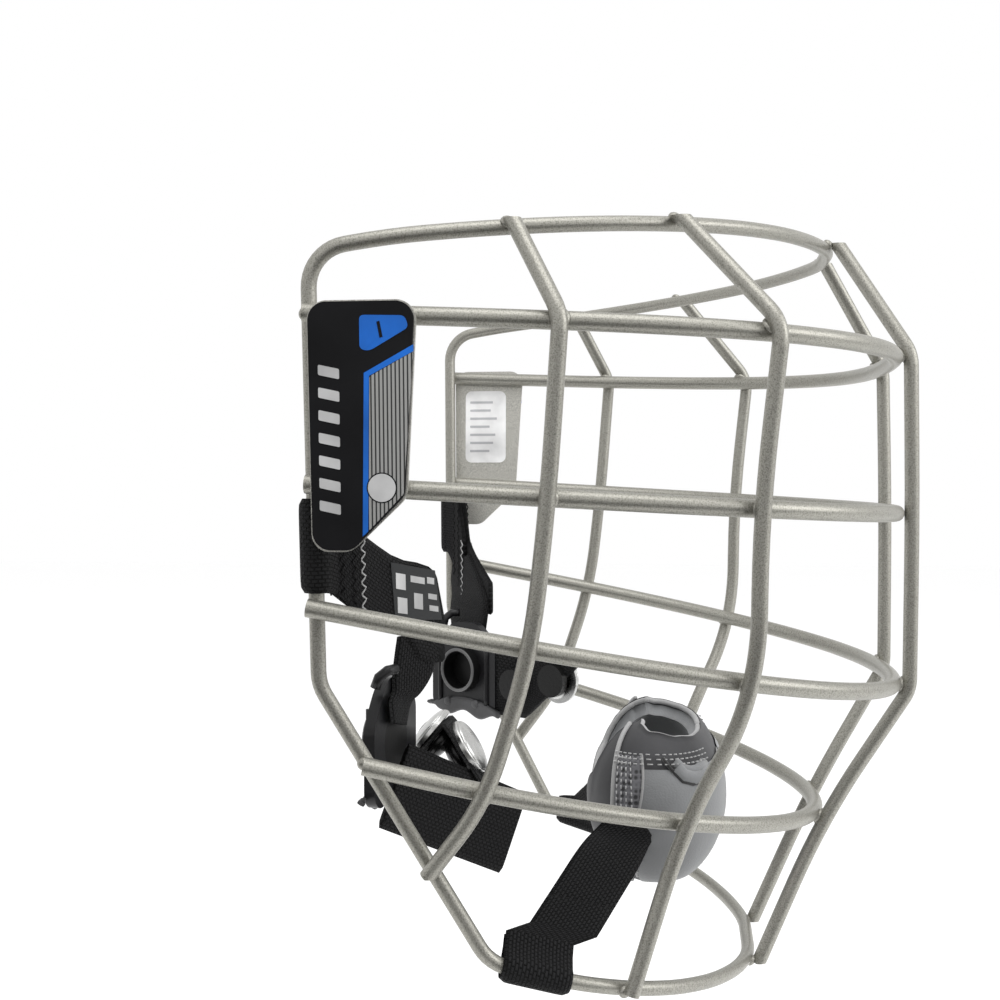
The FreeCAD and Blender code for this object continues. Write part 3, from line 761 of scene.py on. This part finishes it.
def snap_details(name):
    """A dome on each cap, a dark eye in the rear one and dark barrels under the right pair."""
    back_middle = sum((sum(points, Vector()) / len(points) for points in islands("snap_sockets_" + name)),
                      Vector()) / 2
    pieces = []
    caps = sorted(islands("snap_caps_" + name), key=lambda points: sum(points, Vector()).y / len(points))
    for i, points in enumerate(caps):
        middle, axis = cap_axis(points)
        if axis.dot(middle - back_middle) < 0:
            axis = -axis
        side = axis.orthogonal().normalized()
        other = axis.cross(side)
        pieces.append(lump("dome", middle + axis * 0.2 * MM, (6.3 * MM, 6.3 * MM, 1.5 * MM),
                           (side, other, axis), "snap_chrome", 36, 16))
        if i == 1:
            pieces.append(lump("eye", middle + axis * 1.35 * MM, (2.1 * MM, 2.1 * MM, 0.5 * MM),
                               (side, other, axis), "snap_dark", 20))
        if name == "right":
            pieces.append(lump("barrel", middle - axis * 3.4 * MM, (4.9 * MM, 4.9 * MM, 2.6 * MM),
                               (side, other, axis), "snap_dark", 24, 12))
    made = joined("snap_details_" + name, pieces)
    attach(made, "tab_" + name)


for name in SIDES:
    tab_details(name)
    strap_end(name)
    snap_details(name)
snap_flap()


# ---- chin straps ------------------------------------------------------------------------

def chin_strap(name, side):
    """One webbing run from its wrap on the chin run up to the cup, in two blended pieces."""
    pivot = Vector(JOINTS["chin_strap_swing"]["pos_m"])
    tilt = Vector(JOINTS["chin_cup_tilt"]["pos_m"])
    along = Vector((-0.20694, -0.94614, -0.24898))
    middle = Vector((72.4306 * MM, pivot.y, pivot.z))
    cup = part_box("chin_cup_shell")[1].x
    end = Vector((cup + CUP_STRAP_ASIDE, tilt.y, tilt.z))
    rise = (end - middle).normalized()
    flat = along.cross(rise).normalized()
    square = flat.cross(along).normalized()
    rise = square if square.dot(rise) > 0 else -square
    true_rise = end - middle
    half = along * 7.5 * MM

    def flipped(point):
        return Vector((side * point.x, point.y, point.z))

    def row(point, share=1.0):
        return flipped(point - half * share), flipped(point + half * share)

    wrap = []
    for out in (8.0, 6.5, 5.0):
        wrap.append(row(middle + rise * out * MM + flat * 0.78 * MM))
    for i in range(15):
        angle = math.radians(45 + 270 * i / 14)
        wrap.append(row(middle + (rise * math.cos(angle) + flat * math.sin(angle)) * 2.4 * MM))
    for out in (5.0, 6.5, 8.0):
        wrap.append(row(middle + rise * out * MM - flat * 0.78 * MM))
    wrap.append(row(middle + true_rise * 0.3 - flat * 0.3 * MM))
    wrap.append(row(middle + true_rise * 0.5))
    wrap_piece = strip("chin_wrap_webbing_" + name, wrap)
    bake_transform(wrap_piece)
    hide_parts("chin_strap_anchor_" + name)
    run = [row(middle + true_rise * share + flat * math.sin(share * 5) * 0.4 * MM)
           for share in (0.46, 0.58, 0.7, 0.82)]
    inside = end - ACROSS * 3.2 * MM
    run.append(row(middle + true_rise * 0.93 - ACROSS * 0.5 * MM, 0.96))
    run.append(row(inside.lerp(end, 0.35) - UP * 0.5 * MM, 0.9))
    run.append(row(inside + UP * 3.0 * MM - Vector((0, 3, 0)) * MM, 0.85))
    run_piece = strip("chin_run_webbing_" + name, smoothed(run))
    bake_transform(run_piece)
    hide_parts("chin_strap_" + name)


for name, side in SIDES.items():
    chin_strap(name, side)


# ---- chin cup ---------------------------------------------------------------------------

CUP_LOW, CUP_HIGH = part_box("chin_cup_shell")
CUP_MIDDLE = Vector((0, 42 * MM, -132.5 * MM))
CUP_HALF = Vector((37 * MM, 17 * MM, 20 * MM))
# The cup's edge, as (degrees round from the front, rise in degrees).
RIM_PROFILE = ((0, 50), (30, 52), (60, 56), (90, 62), (112, 70), (126, 76), (140, 62), (155, 18), (180, -8))


def cup_point(turn, rise, inset=0.0):
    """A point on the cup: turn round from the front in degrees, rise above its middle."""
    a = math.radians(turn)
    r = math.radians(rise)
    flat = math.cos(r)
    sideways = math.copysign(abs(math.sin(a)) ** 0.7, math.sin(a)) * flat ** 0.38
    ahead = math.copysign(abs(math.cos(a)) ** 0.8, math.cos(a)) * flat ** 0.9
    half = CUP_HALF - Vector((inset,) * 3) * MM
    return CUP_MIDDLE + Vector((-half.x * sideways, -half.y * ahead, half.z * math.sin(r)))


def rim_rise(turn):
    turn = abs((turn + 180) % 360 - 180)
    for (x0, y0), (x1, y1) in zip(RIM_PROFILE, RIM_PROFILE[1:]):
        if turn <= x1:
            share = (turn - x0) / (x1 - x0)
            share = share * share * (3 - 2 * share)
            return y0 + (y1 - y0) * share
    return RIM_PROFILE[-1][1]


def bowl(name, inset_out, inset_in, look, extra=0.0, turns=120, rises=26):
    """A closed bowl between two insets, its rim following the profile."""
    points = []
    faces = []
    for inset in (inset_out, inset_in):
        for i in range(turns):
            turn = 360 * i / turns
            top = rim_rise(turn) + extra
            for j in range(rises + 1):
                rise = -88 + (top + 88) * j / rises
                points.append(cup_point(turn, rise, inset))
    size = turns * (rises + 1)
    for layer in (0, 1):
        for i in range(turns):
            k = (i + 1) % turns
            for j in range(rises):
                a = layer * size + i * (rises + 1) + j
                b = layer * size + k * (rises + 1) + j
                quad = (a, b, b + 1, a + 1)
                faces.append(quad if layer else quad[::-1])
        base = [layer * size + i * (rises + 1) for i in range(turns)]
        faces.append(tuple(base if not layer else base[::-1]))
    for i in range(turns):
        k = (i + 1) % turns
        a = i * (rises + 1) + rises
        b = k * (rises + 1) + rises
        faces.append((a, b, b + size, a + size))
    return mesh_object(name, points, faces, look)


def edge_fade(share):
    """Full in the middle of a span and falling to nothing at its two ends."""
    return math.sqrt(max(0.0, 1 - abs(2 * share - 1) ** 8))


def cup_patch(name, edge, reach, low, high, lift, look, side):
    """A thin skin on the cup's outside, from a seam at each rise round to its reach."""
    points = []
    faces = []
    across = 20
    up = 18
    for lift_now in (lift, lift - 0.5):
        for j in range(up + 1):
            rise = low + (high - low) * j / up
            for i in range(across + 1):
                share = i / across
                fade = edge_fade(share) * edge_fade(j / up)
                turn = edge(rise) + (reach(rise) - edge(rise)) * share
                outward = lift_now if lift_now < lift else lift - 0.5 + 0.5 * fade
                points.append(cup_point(-side * turn, rise, -outward))
    size = (up + 1) * (across + 1)
    for layer in (0, 1):
        for j in range(up):
            for i in range(across):
                a = layer * size + j * (across + 1) + i
                quad = (a, a + 1, a + across + 2, a + across + 1)
                faces.append(quad if layer else quad[::-1])
    return mesh_object(name, points, faces, look)


def seam_turn(rise):
    return 117 + 14 * max(0.0, rise / 62) ** 2


def mesh_turn(rise):
    return seam_turn(rise) - 20 - 6 * math.sin(math.radians(rise * 2))


def front_turn(rise):
    return 0.4 + 0.02 * max(0.0, rise)


def cup_side(name, side):
    """The stitched seam, mesh panel and soft front panel on one side of the cup."""
    mesh = cup_patch("cup_mesh_skin_" + name, seam_turn, mesh_turn, -46, 40, 0.55, "cup_mesh", side)
    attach(mesh, "chin_cup")
    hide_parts("chin_mesh_panel_" + name)
    front = cup_patch("cup_front_skin_" + name, mesh_turn, front_turn, -60, 30, 0.9, "cup_liner", side)
    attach(front, "chin_cup")
    pieces = []
    path = [cup_point(-side * seam_turn(rise), rise, -0.4) for rise in range(-60, 69, 3)]
    pieces.append(tube("seam", path, 0.55 * MM, "piping"))
    path = [cup_point(-side * mesh_turn(rise), rise, -0.5) for rise in range(-50, 43, 3)]
    pieces.append(tube("seam", path, 0.32 * MM, "piping"))
    # a near-black tube along the fold is painted shade in the crease; the fold tubes beside it are raised ridges
    crease_shade = [(84, 38), (81.5, 34), (76, 27), (70.6, 21.4), (62, 19), (53.8, 19), (44, 22)]
    path = [cup_point(-side * turn, rise, -0.85) for turn, rise in crease_shade]
    pieces.append(tube("crease_shade", path, 0.42 * MM, "crease_shade"))
    for lift, reach in ((4, 1.9), (9, 1.3)):
        path = [cup_point(-side * (turn - 2), rise + lift, -0.1) for turn, rise in crease_shade[2:]]
        pieces.append(tube("fold", path, reach * MM, "cup_liner", 12))
    for offset in (4, 8, 12, 16):
        for rise in range(-44, 40, 4):
            dash = [cup_point(-side * (seam_turn(rise + step) - offset), rise + step, -0.75)
                    for step in (0, 1, 2.2)]
            pieces.append(tube("stitch", dash, 0.16 * MM, "stitch", 6))
    for row in (0, 1, 2):
        for i in range(18):
            share = i / 18
            dash = []
            for step in (0, 0.03):
                rise = 40 - 3.5 * row
                turn = seam_turn(rise) - (seam_turn(rise) - 14) * (share + step) * 0.8
                dash.append(cup_point(-side * turn, rise, -1.05))
            pieces.append(tube("stitch", dash, 0.16 * MM, "stitch", 6))
    made = joined("cup_seams_" + name, pieces)
    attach(made, "chin_cup")


def build_cup():
    shell = bowl("cup_shell_skin", 0, 1.6, "cup_shell")
    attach(shell, "chin_cup")
    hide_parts("chin_cup_shell")
    liner = bowl("cup_liner_pad", 1.5, 4.6, "cup_liner", extra=-1.5)
    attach(liner, "chin_cup")
    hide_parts("chin_cup_liner")
    edge = []
    for i in range(180):
        turn = 2 * i
        edge.append(cup_point(turn, rim_rise(turn) + 0.5, 0.9))
    piping = tube("cup_piping", edge, 0.7 * MM, "piping", 10, closed=True)
    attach(piping, "chin_cup")


build_cup()
for name, side in SIDES.items():
    cup_side(name, side)


# ---- studio -----------------------------------------------------------------------------

def stage_plane(name, middle, half, color, roughness=0.9):
    x, y, z = middle
    ways = ((-1, -1), (1, -1), (1, 1), (-1, 1))
    points = [Vector((x + sx * half[0], y + sy * half[1], z)) for sx, sy in ways]
    data = bpy.data.meshes.new(name)
    data.from_pydata([tuple(point) for point in points], [], [(0, 1, 2, 3)])
    made = bpy.data.objects.new(name, data)
    bpy.context.scene.collection.objects.link(made)
    look, _ = shader(name, color, roughness)
    data.materials.append(look)


def area_light(name, place, target, size, power):
    data = bpy.data.lights.new(name, "AREA")
    data.shape = "RECTANGLE"
    data.size, data.size_y = size
    data.energy = power
    made = bpy.data.objects.new(name, data)
    made.location = place
    made.rotation_euler = (Vector(target) - Vector(place)).to_track_quat("-Z", "Y").to_euler()
    bpy.context.scene.collection.objects.link(made)


def studio():
    world = bpy.data.worlds.new("studio")
    bpy.context.scene.world = world
    world.use_nodes = True
    background = world.node_tree.nodes["Background"]
    background.inputs["Color"].default_value = (1, 1, 1, 1)
    background.inputs["Strength"].default_value = 1.0
    stage_plane("floor", (0, 0, STAGE_LEVEL), (4, 4), (0.99, 0.99, 0.99))
    stage_plane("dark card", (-1.7, 0.05, STAGE_LEVEL + 0.03), (1.46, 1.6), (0.015, 0.015, 0.015))
    area_light("overhead", (-0.35, -0.1, 0.9), (0, 0.05, -0.08), (0.9, 0.9), 6)
    area_light("front", (-0.2, -1.0, 0.35), (0, 0.05, -0.08), (0.8, 0.6), 5)
    bpy.context.scene.view_settings.view_transform = "Standard"


def camera():
    data = bpy.data.cameras.new("camera")
    data.sensor_width = 36
    data.lens = 54
    data.clip_start = 0.01
    made = bpy.data.objects.new("camera", data)
    right = Vector((0.1211, -0.9926, -0.0015))
    up = Vector((0.0126, 0.0, 0.9998))
    back = Vector((-0.9926, -0.1211, 0.0125))
    turn = Matrix((right, up, back)).transposed()
    made.matrix_world = Matrix.Translation((-0.3833, 0.035, -0.0555)) @ turn.to_4x4()
    bpy.context.scene.collection.objects.link(made)
    bpy.context.scene.camera = made


studio()
camera()
